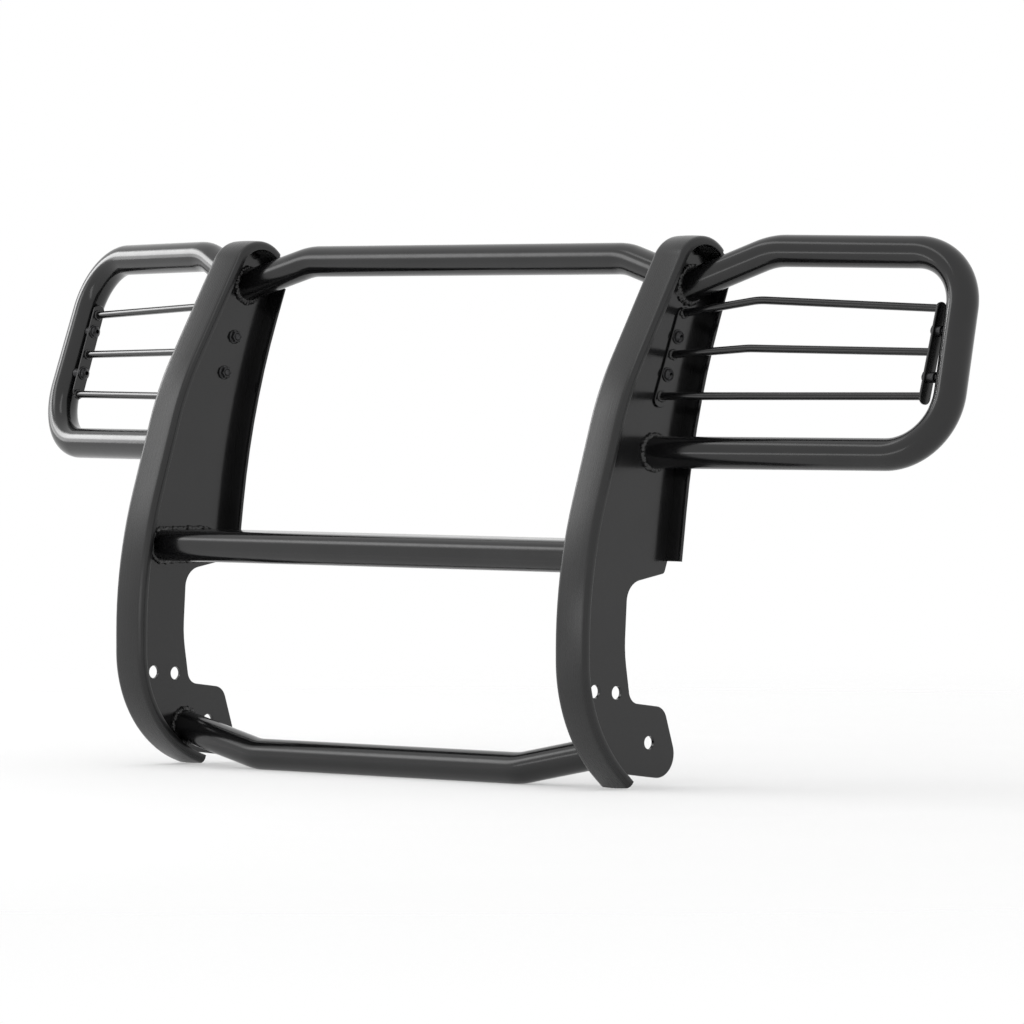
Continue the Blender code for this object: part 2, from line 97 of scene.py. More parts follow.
def addBump(tree, height, strength, distance, below=None):
    bump = tree.nodes.new("ShaderNodeBump")
    bump.inputs["Strength"].default_value = strength
    bump.inputs["Distance"].default_value = distance
    tree.links.new(height, bump.inputs["Height"])
    if below is not None:
        tree.links.new(below, bump.inputs["Normal"])
    return bump.outputs["Normal"]


powder = {"dark": (0.0030, 0.0030, 0.0032), "light": (0.0055, 0.0055, 0.0058), "shine": (0.13, 0.19)}


def powderCoat():
    mat, tree, shader, place = startMaterial("glossBlackPowderCoat")
    cloud = addNoise(tree, place, 14.0, 4.0)
    colour = addRamp(tree, cloud, [(0.35, powder["dark"]), (0.65, powder["light"])])
    tree.links.new(colour, shader.inputs["Base Color"])
    haze = addNoise(tree, place, 55.0, 5.0, 0.6)
    tree.links.new(addRange(tree, haze, *powder["shine"]), shader.inputs["Roughness"])
    wave = addBump(tree, addNoise(tree, place, 95.0, 1.0), 0.10, 0.0004)  # slow flow of the coat
    peel = addBump(tree, addNoise(tree, place, 620.0, 2.0), 0.10, 0.0001, wave)  # orange peel
    tree.links.new(peel, shader.inputs["Normal"])
    shader.inputs["IOR"].default_value = 1.5
    return mat


rubberLook = {"dark": (0.0028, 0.0028, 0.0030), "light": (0.0060, 0.0060, 0.0063), "shine": (0.24, 0.32)}


def extrudedRubber():
    mat, tree, shader, place = startMaterial("extrudedBlackRubber")
    cloud = addNoise(tree, place, 20.0, 5.0, 0.6)
    colour = addRamp(tree, cloud, [(0.3, rubberLook["dark"]), (0.7, rubberLook["light"])])
    tree.links.new(colour, shader.inputs["Base Color"])
    lines = addNoise(tree, place, 1.0, 3.0, 0.6, (900.0, 3.0, 3.0))  # die lines along the strip
    tree.links.new(addRange(tree, lines, *rubberLook["shine"]), shader.inputs["Roughness"])
    drag = addBump(tree, lines, 0.12, 0.00025)
    grain = addBump(tree, addNoise(tree, place, 2400.0, 2.0), 0.22, 0.0001, drag)
    tree.links.new(grain, shader.inputs["Normal"])
    shader.inputs["IOR"].default_value = 1.48
    return mat


oxideLook = {"dark": (0.020, 0.020, 0.021), "light": (0.045, 0.045, 0.047), "shine": (0.22, 0.38)}


def blackSteel():
    mat, tree, shader, place = startMaterial("blackOxideFastener")
    cloud = addNoise(tree, place, 260.0, 4.0)
    colour = addRamp(tree, cloud, [(0.3, oxideLook["dark"]), (0.7, oxideLook["light"])])
    tree.links.new(colour, shader.inputs["Base Color"])
    patch = addNoise(tree, place, 900.0, 3.0)
    tree.links.new(addRange(tree, patch, *oxideLook["shine"]), shader.inputs["Roughness"])
    grain = addBump(tree, addNoise(tree, place, 1500.0, 2.0), 0.15, 0.00008)
    tree.links.new(grain, shader.inputs["Normal"])
    shader.inputs["Metallic"].default_value = 0.7
    return mat


weldLook = {"dark": (0.008, 0.008, 0.008), "light": (0.016, 0.016, 0.016), "shine": (0.14, 0.30)}


def weldCoat():
    mat, tree, shader, place = startMaterial("coatedWeldBead")
    cloud = addNoise(tree, place, 180.0, 4.0)
    colour = addRamp(tree, cloud, [(0.3, weldLook["dark"]), (0.7, weldLook["light"])])
    tree.links.new(colour, shader.inputs["Base Color"])
    patch = addNoise(tree, place, 500.0, 3.0)
    tree.links.new(addRange(tree, patch, *weldLook["shine"]), shader.inputs["Roughness"])
    lumps = addBump(tree, addNoise(tree, place, 420.0, 4.0, 0.6), 0.6, 0.0006)
    tree.links.new(lumps, shader.inputs["Normal"])
    return mat


coat = powderCoat()
rubber = extrudedRubber()
oxide = blackSteel()
weld = weldCoat()


# small helpers the pieces share
def placing(origin, across, up):
    # section plane: its x runs along across, its y along up
    across = Vector(across).normalized()
    up = Vector(up).normalized()
    return Matrix.Translation(origin) @ Matrix((across, up, across.cross(up))).transposed().to_4x4()


def roundCorners(bm, verts, radius, segments):
    bmesh.ops.bevel(bm, geom=verts, affect="VERTICES", offset=radius, offset_type="OFFSET",
                    segments=segments, profile=0.5, material=-1, clamp_overlap=True)


def ringOf(bm, matrix, radius, segments):
    made = bmesh.ops.create_circle(bm, cap_ends=False, segments=segments, radius=radius, matrix=matrix)
    return made["verts"] + list({e for v in made["verts"] for e in v.link_edges})


def outlineOf(bm, matrix, points):
    # points are (x, y, corner radius) round a closed section
    verts = [bm.verts.new((x, y, 0.0)) for x, y, r in points]
    face = bm.faces.new(verts)
    for vert, (x, y, r) in zip(verts, points):
        if r > 0:
            roundCorners(bm, [vert], r, 6 if r > 0.002 else 3)
    loop = list({v for f in bm.faces for v in f.verts}) + list({e for f in bm.faces for e in f.edges})
    bmesh.ops.delete(bm, geom=bm.faces[:], context="FACES_ONLY")
    bmesh.ops.transform(bm, matrix=matrix, verts=[g for g in loop if isinstance(g, bmesh.types.BMVert)])
    return loop


def runAlong(bm, section, corners, stepDegrees=3.0, lastTurn=None):
    # carries a section down straight runs and spins it round each bend
    here = Vector(corners[0][:3])
    for i in range(1, len(corners)):
        corner = Vector(corners[i][:3])
        ahead = (corner - Vector(corners[i - 1][:3])).normalized()
        bend = i + 1 < len(corners)
        reach = 0.0
        if bend:
            after = (Vector(corners[i + 1][:3]) - corner).normalized()
            turn = ahead.angle(after)
            radius = corners[i][3]
            reach = radius * math.tan(turn / 2)
        stop = corner - ahead * reach
        if (stop - here).length > 1e-5:
            made = bmesh.ops.spin(bm, geom=section, cent=here, axis=(0, 0, 1), dvec=stop - here,
                                  angle=0, steps=1)
            section = made["geom_last"]
        if bend and reach > 0:
            axis = ahead.cross(after).normalized()
            centre = stop + axis.cross(ahead) * radius
            done = lastTurn is not None and i + 2 == len(corners)
            if done:
                turn = math.radians(lastTurn)
            steps = max(1, math.ceil(turn / math.radians(stepDegrees)))
            made = bmesh.ops.spin(bm, geom=section, cent=centre, axis=axis, angle=turn, steps=steps)
            section = made["geom_last"]
            stop = centre + Matrix.Rotation(turn, 3, axis) @ (stop - centre)
            if done:
                return section
        here = stop
    return section


def mitre(section, direction, x):
    # slides a section's points along the run to a plane square to x
    direction = Vector(direction).normalized()
    for vert in [g for g in section if isinstance(g, bmesh.types.BMVert)]:
        vert.co += direction * ((x - vert.co.x) / direction.x)


def closeEnds(bm):
    bmesh.ops.holes_fill(bm, edges=[e for e in bm.edges if e.is_boundary], sides=0)


def finishPiece(name, bm, mat, slotName, nodes, sharpAngle=38.0, tidy=True):
    if tidy:
        bmesh.ops.remove_doubles(bm, verts=bm.verts, dist=2e-6)
        bmesh.ops.recalc_face_normals(bm, faces=bm.faces)
        if bm.calc_volume(signed=True) < 0:
            bmesh.ops.reverse_faces(bm, faces=bm.faces)
        bmesh.ops.translate(bm, vec=guardShift, verts=bm.verts)
    mesh = bpy.data.meshes.new(name)
    bm.to_mesh(mesh)
    bm.free()
    mesh.shade_smooth()
    mesh.set_sharp_from_angle(angle=math.radians(sharpAngle))
    mesh.materials.append(mat)
    piece = bpy.data.objects.new(name, mesh)
    bpy.context.scene.collection.objects.link(piece)
    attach(piece, "root")
    if nodes:
        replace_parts(piece, *nodes)
    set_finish(piece, slotName)
    return piece


def mirrorLeft(piece, sharpAngle=38.0):
    bm = bmesh.new()
    bm.from_mesh(piece.data)
    bmesh.ops.scale(bm, vec=(-1, 1, 1), verts=bm.verts)
    bmesh.ops.reverse_faces(bm, faces=bm.faces)
    nodes = [n.replace("right", "left") for n in piece["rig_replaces"]]
    return finishPiece(piece.name.replace("Right", "Left"), bm, piece.data.materials[0], piece["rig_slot"],
                       nodes, sharpAngle, tidy=False)


def onSide(bm, side):
    # pieces are drawn on the right, and turned over for the left
    if side == "left":
        bmesh.ops.scale(bm, vec=(-1, 1, 1), verts=bm.verts)


# rubber over the front of each riser plate, bare flange down its rear
strip = {
    "line": [(-0.1459, 0.2527, 0.554), (-0.0758, 0.4659, 0.368), (0.0306, 0.6428, 0.041),
             (0.1135, 0.6428, 0.041), (0.0356, 0.4403, 1.000), (0.0127, 0.2643, 0.0)],  # y, z, bend radius
    "rightFoot": [(-0.0706, 0.0044, 0.0), (-0.1459, 0.0682, 0.179)],
    "leftFoot": [(-0.0442, 0.0049, 0.0), (-0.1459, 0.0404, 0.140)],
    "crownTurn": 106.7,  # degrees of the last crown bend under rubber
    "rearTurn": 3.2,  # degrees of the same bend left to the bare flange
    "rubberHalf": 0.0250, "rubberFace": 0.0057, "rubberBack": -0.0053, "wall": 0.0030, "hook": 0.0150,
    "crownDrop": 0.0006, "crownRise": 0.0010, "shoulder": 0.0062, "hookRise": 0.0022,
    "rearHalf": 0.0245, "rearT": 0.0048,
    "rearCrown": [(0.0140, 0.0), (0.0180, 0.0004), (0.0215, 0.0012), (0.0245, 0.0023)],  # out, fall
}


def stripCorners(side):
    line = strip[side + "Foot"] + strip["line"]
    return [(plateX, y, z, r) for y, z, r in line]


def facing(corners):
    # away from the plate, square to the first run
    run = (Vector(corners[1][:3]) - Vector(corners[0][:3])).normalized()
    return Vector((0, -run.z, run.y))


def rubberStrip(side):
    bm = bmesh.new()
    corners = stripCorners(side)
    half, face, back = strip["rubberHalf"], strip["rubberFace"], strip["rubberBack"]
    wall, hook = strip["wall"], strip["hook"]
    flat = face - strip["crownDrop"]
    crown = [(share * half, flat + strip["crownRise"] * (1 - share * share), 0)
             for share in (0, 0.25, 0.5, 0.68)]
    right = crown[1:] + [(half, flat - 0.0001, strip["shoulder"]), (half, back, 0.0015), (hook, back, 0.0008),
                         (hook, back + strip["hookRise"], 0.0008),
                         (half - wall, back + strip["hookRise"] + 0.0002, 0), (half - wall, face - wall, 0)]
    left = [(-x, y, r) for x, y, r in reversed(right)]
    section = outlineOf(bm, placing(corners[0][:3], (1, 0, 0), facing(corners)), right + left + crown[:1])
    runAlong(bm, section, corners[:6], 2.0, strip["crownTurn"])
    closeEnds(bm)
    onSide(bm, side)
    return finishPiece("rubberStrip" + side.title(), bm, rubber, "rubber", ["rubber_strip_" + side], 50.0)


def rearFlange(side):
    bm = bmesh.new()
    corners = stripCorners(side)[:3:-1]
    half, thick = strip["rearHalf"], strip["rearT"] / 2
    outer = [(out, thick - fall, 0.0008 if out == half else 0) for out, fall in strip["rearCrown"]]
    outer.append((half, -thick, 0.0011))
    box = outer + [(-x, y, r) for x, y, r in reversed(outer)]
    section = outlineOf(bm, placing(corners[0][:3], (1, 0, 0), facing(corners)), box)
    runAlong(bm, section, corners, 2.0, strip["rearTurn"])
    closeEnds(bm)
    onSide(bm, side)
    return finishPiece("rearFlange" + side.title(), bm, coat, "powder_coat", ["rear_flange_" + side], 50.0)


for side in ("right", "left"):
    rubberStrip(side)
    rearFlange(side)
print("strips and rear flanges")


# the two plates that carry everything
plate = {
    "notch": [(0.0074, 0.2500, 0.005), (-0.0546, 0.2392, 0.026), (-0.0596, 0.1595, 0.150),
              (-0.0500, 0.0992, 0.016), (0.0073, 0.0921, 0.019), (0.0358, 0.0039, 0.028),
              (-0.0860, 0.0188, 0.0)],  # y, z, corner radius, from the rear flange's foot down
    "footZ": 0.0188,
    "boltHoles": [(-0.1089, 0.1143, 0.008), (-0.0729, 0.1117, 0.008), (-0.0182, 0.0512, 0.008)],
    "screwHoles": [(0.0269, 0.5289, 0.0045), (0.0094, 0.4844, 0.0045)],
    "edge": 0.0005,
}


def punch(bm, x, y, z, radius):
    place = Matrix.Translation((x, y, z)) @ Matrix.Rotation(math.pi / 2, 4, "Y")
    ringOf(bm, place, radius, 36)


def thicken(bm, thickness, edge):
    # flat outline in the plate's plane to a bar with broken edges
    bmesh.ops.triangle_fill(bm, edges=bm.edges[:], use_beauty=True)
    bmesh.ops.recalc_face_normals(bm, faces=bm.faces)
    if sum(f.normal.x * f.calc_area() for f in bm.faces) < 0:
        bmesh.ops.reverse_faces(bm, faces=bm.faces)
    rear = bm.faces[:]
    bmesh.ops.translate(bm, vec=(thickness / 2 - edge, 0, 0), verts=bm.verts)
    made = bmesh.ops.extrude_face_region(bm, geom=rear, use_keep_orig=True)
    front = [g for g in made["geom"] if isinstance(g, bmesh.types.BMFace)]
    moved = [g for g in made["geom"] if isinstance(g, bmesh.types.BMVert)]
    bmesh.ops.translate(bm, vec=(-thickness + 2 * edge, 0, 0), verts=moved)
    bmesh.ops.recalc_face_normals(bm, faces=bm.faces)
    if bm.calc_volume(signed=True) < 0:
        bmesh.ops.reverse_faces(bm, faces=bm.faces)
    for faces in (rear, front):
        bmesh.ops.inset_region(bm, faces=faces, thickness=edge, depth=edge, use_boundary=True,
                               use_even_offset=True)


def riserPlate(side):
    bm = bmesh.new()
    corners = stripCorners(side)
    start = [bm.verts.new(corners[0][:3])]
    top = runAlong(bm, start, corners, 3.0)
    bmesh.ops.bisect_plane(bm, geom=bm.verts[:] + bm.edges[:], dist=1e-6, plane_co=(0, 0, plate["footZ"]),
                           plane_no=(0, 0, 1), clear_inner=True)
    rear = [corners[-1]] + [(plateX, y, z, r) for y, z, r in plate["notch"]]
    runAlong(bm, [g for g in top if isinstance(g, bmesh.types.BMVert)], rear, 6.0)
    bmesh.ops.remove_doubles(bm, verts=bm.verts, dist=2e-6)
    ends = [v for v in bm.verts if len(v.link_edges) == 1]
    bmesh.ops.contextual_create(bm, geom=ends)
    for y, z, radius in plate["boltHoles"] + plate["screwHoles"]:
        punch(bm, plateX, y, z, radius)
    thicken(bm, plateT, plate["edge"])
    onSide(bm, side)
    return finishPiece("riserPlate" + side.title(), bm, coat, "powder_coat", ["riser_plate_" + side], 30.0)


for side in ("right", "left"):
    riserPlate(side)
print("riser plates")


# hoops in front of the lamps, in the one round tube of the guard
tube = {"radius": 0.01905, "sides": 48}
hoop = {
    "y": 0.029, "z": 0.520, "lean": 0.32, "sweep": 0.2035,
    "corners": [(plateX, 0.5885, 0.0), (0.488, 0.6302, 0.090), (0.749, 0.6264, 0.070),
                (0.769, 0.3930, 0.074), (plateX, 0.3930, 0.0)],  # x, z, bend radius
}


def hoopY(x, z):
    return hoop["y"] + hoop["lean"] * (z - hoop["z"]) + hoop["sweep"] * (x - plateX)


def roundTube(name, corners, nodes, ends, sides=tube["sides"], radius=tube["radius"], step=3.0):
    # follows the corners and ends square to x, at the two places in ends
    bm = bmesh.new()
    first = Vector(corners[1][:3]) - Vector(corners[0][:3])
    last = Vector(corners[-1][:3]) - Vector(corners[-2][:3])
    across = first.cross(Vector((0, 0.1, 1))).normalized()
    section = ringOf(bm, placing(corners[0][:3], across, first.cross(across)), radius, sides)
    far = runAlong(bm, section, corners, step)
    mitre(section, first, ends[0])
    mitre(far, last, ends[1])
    closeEnds(bm)
    return finishPiece(name, bm, coat, "powder_coat", nodes)


faceOut = plateX + plateT / 2
faceIn = plateX - plateT / 2
hoopLine = [(x, hoopY(x, z), z, r) for x, z, r in hoop["corners"]]
mirrorLeft(roundTube("lampGuardHoopRight", hoopLine, ["lamp_guard_hoop_right"], (faceOut, faceOut)))
print("hoops")


# upper, middle and lower members between the plates
crossTubes = {
    "upper": [(-plateX, 0.0500, 0.5920, 0.0), (-0.273, 0.0604, 0.6223, 0.100),
              (0.273, 0.0604, 0.6223, 0.100), (plateX, 0.0500, 0.5920, 0.0)],
    "lower": [(-plateX, -0.0575, 0.0470, 0.0), (-0.228, -0.0747, 0.0172, 0.100),
              (0.228, -0.0747, 0.0172, 0.100), (plateX, -0.0575, 0.0470, 0.0)],
}
middle = {"y": -0.0620, "z": 0.2710, "depth": 0.102, "height": 0.0381, "corner": 0.015}


def middleMember():
    bm = bmesh.new()
    d, h, r = middle["depth"] / 2, middle["height"] / 2, middle["corner"]
    start, end = [(x, middle["y"], middle["z"], 0) for x in (-faceIn, faceIn)]
    section = outlineOf(bm, placing(start[:3], (0, 1, 0), (0, 0, 1)),
                        [(d, h, r), (-d, h, r), (-d, -h, r), (d, -h, r)])
    runAlong(bm, section, [start, end])
    closeEnds(bm)
    return finishPiece("middleCrossMember", bm, coat, "powder_coat", ["middle_cross_member"], 30.0)


for level, corners in crossTubes.items():
    roundTube(level + "CrossTube", corners, [level + "_cross_tube"], (-faceIn, faceIn), step=2.0)
middleMember()
print("cross members")


# straps at both ends of the guard rods
straps = {
    "thick": 0.003, "long": 0.124, "wide": 0.018, "edge": 0.0006, "hole": 0.0045,
    "innerX": 0.3860, "innerZ": 0.5040, "innerLean": 0.395,
    "outerX": 0.7292, "outerZ": 0.5100, "outerRake": 0.030,
    "outerScrews": (0.5355, 0.4820),
}
rods = {
    "radius": 0.0047, "sides": 20, "kinkX": 0.482, "bend": 0.090, "leftDrop": 0.0055,
    "upper": (0.5570, 0.5722, 0.5620),  # heights at the plate, the kink and the hoop
    "middle": (0.5080, 0.5155, 0.5115),
    "lower": (0.4590, 0.4595, 0.4605),
}


def innerStrapY(z):
    screwY, screwZ, hole = plate["screwHoles"][0]
    return screwY + straps["innerLean"] * (z - screwZ)


def outerStrapX(z):
    return straps["outerX"] - straps["outerRake"] * (z - straps["outerZ"])


def outerStrapY(z):
    return hoopY(straps["outerX"], z)


def strapBar(name, yOf, middleZ, rake, x, holes, nodes):
    bm = bmesh.new()
    lean = math.atan(yOf(1.0) - yOf(0.0))
    w, l = straps["wide"] / 2, straps["long"] / 2
    place = Matrix.Translation((x, yOf(middleZ), middleZ)) @ Matrix.Rotation(-lean, 4, "X")
    turn = Matrix(((0, 0, 1), (1, 0, 0), (0, 1, 0))).to_4x4()
    verts = [bm.verts.new(p) for p in ((w, l, 0), (-w, l, 0), (-w, -l, 0), (w, -l, 0))]
    bm.faces.new(verts)
    roundCorners(bm, verts, w - 0.0002, 12)
    bmesh.ops.delete(bm, geom=bm.faces[:], context="FACES_ONLY")
    bmesh.ops.transform(bm, matrix=place @ turn, verts=bm.verts)
    for y, z in holes:
        punch(bm, x, y, z, straps["hole"])
    thicken(bm, straps["thick"], straps["edge"])
    for vert in bm.verts:
        vert.co.x -= rake * (vert.co.z - middleZ)
    return finishPiece(name, bm, coat, "powder_coat", nodes, 30.0)


innerHoles = [(y, z) for y, z, r in plate["screwHoles"]]
outerHoles = [(outerStrapY(z), z) for z in straps["outerScrews"]]
mirrorLeft(strapBar("innerStrapRight", innerStrapY, straps["innerZ"], 0.0, straps["innerX"], innerHoles,
                    ["inner_strap_right"]), 30.0)
mirrorLeft(strapBar("outerStrapRight", outerStrapY, straps["outerZ"], straps["outerRake"], straps["outerX"],
                    outerHoles, ["outer_strap_right"]), 30.0)

rodEnds = {}  # where the tacks go: name to (end, next point)
for side, drop in (("Right", 0.0), ("Left", rods["leftDrop"])):
    for level in ("upper", "middle", "lower"):
        inZ, kinkZ, outZ = [z - drop for z in rods[level]]
        inX = straps["innerX"] + straps["thick"] / 2
        outX = outerStrapX(outZ) - straps["thick"] / 2
        line = [(inX, innerStrapY(inZ), inZ, 0.0),
                (rods["kinkX"], hoopY(rods["kinkX"], kinkZ), kinkZ, rods["bend"]),
                (outX, outerStrapY(outZ), outZ, 0.0)]
        sign = 1 if side == "Right" else -1
        line = [(sign * x, y, z, r) for x, y, z, r in line]
        roundTube(level + "GuardRod" + side, line, ["guard_rod_" + level + "_" + side.lower()],
                  (sign * inX, sign * outX), rods["sides"], rods["radius"], 2.0)
        rodEnds[level + "InnerTack" + side] = (line[0][:3], line[1][:3])
        rodEnds[level + "OuterTack" + side] = (line[2][:3], line[1][:3])
print("straps and rods")


# screws, washers, spacers and nuts
screw = {
    "shank": 0.0040, "tip": 0.0006, "head": 0.0070, "height": 0.0044, "rim": 0.0008, "top": 0.0033,
    "socket": 0.0026, "socketDepth": 0.0026, "lip": 0.0003, "domeTurns": (14, 28, 42, 54),
    "outerLong": 0.0236, "beyondNut": 0.0008,
}
washer = {"bore": 0.0044, "radius": 0.0088, "thick": 0.0016}
spacer = {"bore": 0.0044, "radius": 0.0065, "upper": 0.0072, "lower": 0.0104}
nut = {
    "flats": 0.013, "height": 0.0060, "bore": 0.0041, "mouth": 0.0047, "countersink": 0.0007,
    "skirt": [(0.0041, 0.0001), (0.0085, 0.0001), (0.0088, 0.0004), (0.0088, 0.0010), (0.0084, 0.0014),
              (0.0062, 0.0024), (0.0041, 0.0024), (0.0041, 0.0001)],
}


def turned(bm, profile, steps=40):
    # profile of (radius, height) spun about z
    verts = [bm.verts.new((r, 0.0, z)) for r, z in profile]
    edges = [bm.edges.new(pair) for pair in zip(verts, verts[1:])]
    bmesh.ops.spin(bm, geom=verts + edges, cent=(0, 0, 0), axis=(0, 0, 1), angle=2 * math.pi, steps=steps,
                   use_merge=True)


def hexRing(bm, radius, z):
    return ringOf(bm, Matrix.Translation((0, 0, z)), radius, 6)


def edgesOf(geom):
    return [g for g in geom if isinstance(g, bmesh.types.BMEdge)]


def setAt(bm, x, y, z, facing):
    # from standing on z to pointing along x
    turn = Matrix.Rotation(math.pi / 2 * facing, 4, "Y")
    bmesh.ops.transform(bm, matrix=Matrix.Translation((x, y, z)) @ turn, verts=bm.verts)


def buttonScrew(name, x, y, z, facing, shank, nodes, flange=0.0):
    bm = bmesh.new()
    r, h = screw["head"], screw["height"] + flange
    low = flange + screw["rim"]
    turns = [math.radians(degrees) for degrees in screw["domeTurns"]]
    dome = [(r, flange), (r, low)] + [(r * math.cos(a), low + (h - low) * math.sin(a)) for a in turns]
    if flange:
        wide = washer["radius"]
        dome = [(wide, 0.0), (wide, flange - screw["lip"]), (wide - screw["lip"], flange)] + dome
    thin, tip = screw["shank"], screw["tip"]
    stem = [(0.00002, -shank), (thin - tip, -shank), (thin, -shank + tip), (thin, 0.0)]
    turned(bm, stem + dome + [(screw["top"], h)])
    rim = [e for e in bm.edges if e.is_boundary and min(v.co.z for v in e.verts) > h - 1e-5]
    mouth = edgesOf(hexRing(bm, screw["socket"] + screw["lip"], h))
    bmesh.ops.bridge_loops(bm, edges=rim + mouth)
    throat = edgesOf(hexRing(bm, screw["socket"], h - screw["lip"]))
    bmesh.ops.bridge_loops(bm, edges=mouth + throat)
    floor = edgesOf(hexRing(bm, screw["socket"], h - screw["socketDepth"]))
    bmesh.ops.bridge_loops(bm, edges=throat + floor)
    closeEnds(bm)
    setAt(bm, x, y, z, facing)
    return finishPiece(name, bm, oxide, "hardware", nodes, 32.0)


def flatRing(name, x, y, z, inner, outer, thick, nodes):
    bm = bmesh.new()
    e = min(0.0003, thick / 4)
    turned(bm, [(inner, e), (inner + e, 0.0), (outer - e, 0.0), (outer, e), (outer, thick - e),
                (outer - e, thick), (inner + e, thick), (inner, thick - e), (inner, e)])
    setAt(bm, x, y, z, 1)
    return finishPiece(name, bm, oxide, "hardware", nodes, 32.0)


def flangeNut(name, x, y, z, nodes):
    bm = bmesh.new()
    corner = nut["flats"] / 2 / math.cos(math.pi / 6)
    top = Matrix.Translation((0, 0, nut["height"]))
    sunk = Matrix.Translation((0, 0, nut["height"] - nut["countersink"]))
    low = edgesOf(hexRing(bm, corner, 0.0006))
    crown = edgesOf(hexRing(bm, corner, nut["height"] - 0.0008))
    bmesh.ops.bridge_loops(bm, edges=low + crown)
    rim = edgesOf(ringOf(bm, top, nut["flats"] / 2 - 0.0004, 36))
    bmesh.ops.bridge_loops(bm, edges=crown + rim)
    mouth = edgesOf(ringOf(bm, top, nut["mouth"], 36))
    bmesh.ops.bridge_loops(bm, edges=rim + mouth)
    cup = edgesOf(ringOf(bm, sunk, nut["bore"], 36))
    bmesh.ops.bridge_loops(bm, edges=mouth + cup)
    closeEnds(bm)
    turned(bm, nut["skirt"])
    setAt(bm, x, y, z, -1)
    return finishPiece(name, bm, oxide, "hardware", nodes, 32.0)


strapFace = straps["innerX"] + straps["thick"] / 2
headX = strapFace + washer["thick"]
innerLong = headX - faceIn + nut["height"] + screw["beyondNut"]
for level, (y, z) in zip(("upper", "lower"), innerHoles):
    low = level + "_right"
    cap = level.title() + "Right"
    mirrorLeft(flatRing("innerWasher" + cap, strapFace, y, z, washer["bore"], washer["radius"],
                        washer["thick"], ["inner_washer_" + low]), 32.0)
    mirrorLeft(buttonScrew("innerScrew" + cap, headX, y, z, 1, innerLong, ["inner_screw_" + low]), 32.0)
    mirrorLeft(flangeNut("flangeNut" + cap, faceIn, y, z, ["flange_nut_" + low]), 32.0)
for level, (y, z) in zip(("upper", "lower"), outerHoles):
    low = level + "_right"
    cap = level.title() + "Right"
    x = outerStrapX(z)
    mirrorLeft(buttonScrew("outerScrew" + cap, x - straps["thick"] / 2, y, z, -1, screw["outerLong"],
                           ["outer_screw_" + low], washer["thick"]), 32.0)
    mirrorLeft(flatRing("outerSpacer" + cap, x + straps["thick"] / 2, y, z, spacer["bore"], spacer["radius"],
                        spacer[level], ["outer_spacer_" + low]), 32.0)
print("fasteners")


# welds: ripply beads round tubes, tacks at the rod ends
bead = {
    "radius": 0.0032, "sides": 10, "pitch": 0.0036, "step": 0.25, "rough": 0.55, "tack": 0.0016,
    "middleSpread": 0.042, "middleCuts": 40,
    "crossSeeds": {"upper": 0.3, "lower": 1.7}, "hoopSeeds": {"upper": 2.9, "lower": 4.1},
    "tackSeed": 5.3, "middleSeed": 0.9,
}


def ripple(bm, centre, spread, seed, radius):
    # stacked ripples round the bead, with an uneven edge
    for vert in bm.verts:
        away = vert.co - centre
        angle = math.atan2(away.z, away.y)
        count = round(2 * math.pi * spread / bead["pitch"])
        phase = (angle / (2 * math.pi) * count + seed) % 1.0
        spot = vert.co * 300.0 + Vector((seed, 0, 0))
        uneven = noise.noise(spot) + 0.5 * noise.noise(spot * 2.3)
        lift = bead["step"] * (1.0 - phase) + bead["rough"] * uneven
        vert.co += vert.normal * radius * lift


def tubeBead(name, start, toward, x, side, nodes, seed, inner=tube["radius"], radius=bead["radius"]):
    # ring round a tube where it leaves the plane x, on that side of it
    bm = bmesh.new()
    axis = (Vector(toward) - Vector(start)).normalized()
    across = axis.cross(Vector((0, 0, 1))).normalized()
    reach = inner + 0.2 * radius
    centre = Vector(start) + axis * ((x + side * 0.25 * radius - start[0]) / axis.x)
    section = ringOf(bm, placing(centre + across * reach, across, axis), radius, bead["sides"])
    bmesh.ops.spin(bm, geom=section, cent=centre, axis=axis, angle=2 * math.pi,
                   steps=180 if inner > 0.01 else 60, use_merge=True)
    bmesh.ops.remove_doubles(bm, verts=bm.verts, dist=1e-6)
    for vert in bm.verts:
        arm = vert.co - centre
        out = arm - axis * arm.dot(axis)
        vert.co += axis * (-out.x / axis.x)
    bmesh.ops.recalc_face_normals(bm, faces=bm.faces)
    if bm.calc_volume(signed=True) < 0:
        bmesh.ops.reverse_faces(bm, faces=bm.faces)
    bm.normal_update()
    ripple(bm, centre, reach, seed, radius)
    return finishPiece(name, bm, weld, "weld", nodes, 60.0)


def middleBead():
    # follows the member's corners, starting and ending halfway along its top
    bm = bmesh.new()
    d, h, r = middle["depth"] / 2, middle["height"] / 2, middle["corner"]
    x, y, z = faceIn - 0.0008, middle["y"], middle["z"]
    line = [(x, y, z + h, 0.0), (x, y + d, z + h, r), (x, y + d, z - h, r), (x, y - d, z - h, r),
            (x, y - d, z + h, r), (x, y, z + h, 0.0)]
    section = ringOf(bm, placing(line[0][:3], (1, 0, 0), (0, 0, 1)), bead["radius"], bead["sides"])
    runAlong(bm, section, line, 6.0)
    bmesh.ops.remove_doubles(bm, verts=bm.verts, dist=1e-6)
    longEdges = [e for e in bm.edges if e.calc_length() > 0.01]
    bmesh.ops.subdivide_edges(bm, edges=longEdges, cuts=bead["middleCuts"], use_grid_fill=True)
    bmesh.ops.recalc_face_normals(bm, faces=bm.faces)
    bm.normal_update()
    ripple(bm, Vector((x, y, z)), bead["middleSpread"], bead["middleSeed"], bead["radius"])
    return finishPiece("middleCrossWeldRight", bm, weld, "weld", ["middle_cross_weld_right"], 60.0)


